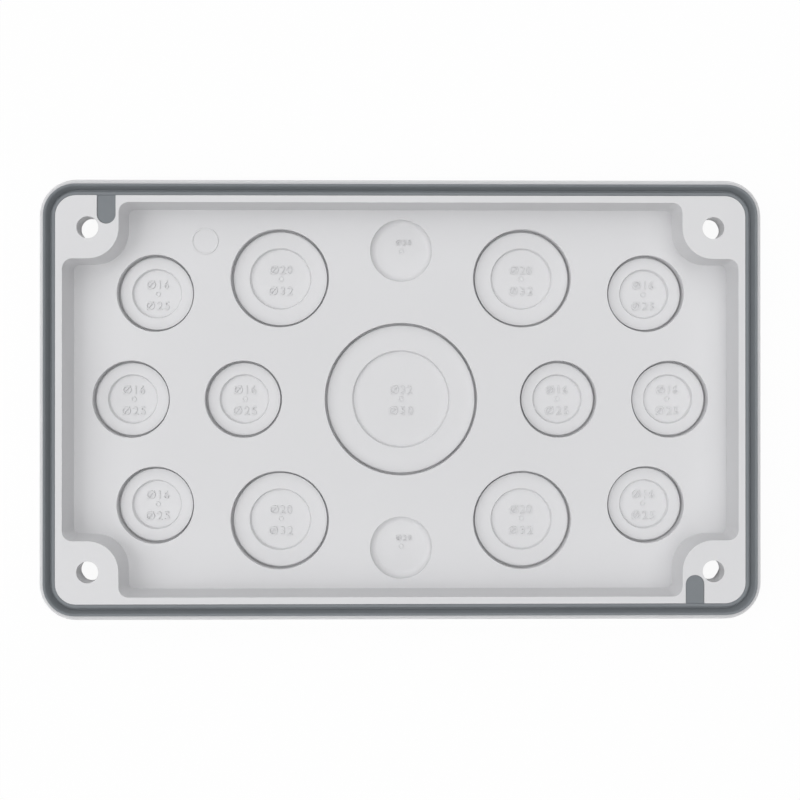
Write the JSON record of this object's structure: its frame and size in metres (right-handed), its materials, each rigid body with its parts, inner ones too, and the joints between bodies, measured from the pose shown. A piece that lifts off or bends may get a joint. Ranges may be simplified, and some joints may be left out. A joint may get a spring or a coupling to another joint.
{
  "type": "cable entry plate",
  "caption": "Rectangular moulded cable entry plate with a recessed floor of stepped metric knockouts, corner screw pillars and a sealing gasket ring seated in its rim.",
  "frame": {"origin": "middle of the flat front face, which the plate lies on", "axes": "+X along the long side, +Y along the short side, +Z out of the recess towards the sealing side"},
  "size_m": [0.2322, 0.1414, 0.0144],
  "materials": {
    "plate_plastic": "light grey moulded plastic, fine satin texture",
    "gasket_rubber": "mid grey soft moulded sealing rubber, matte"
  },
  "bodies": {
    "root": {"entry_plate": "plate_plastic", "sealing_gasket": "gasket_rubber"}
  },
  "joints": []
}
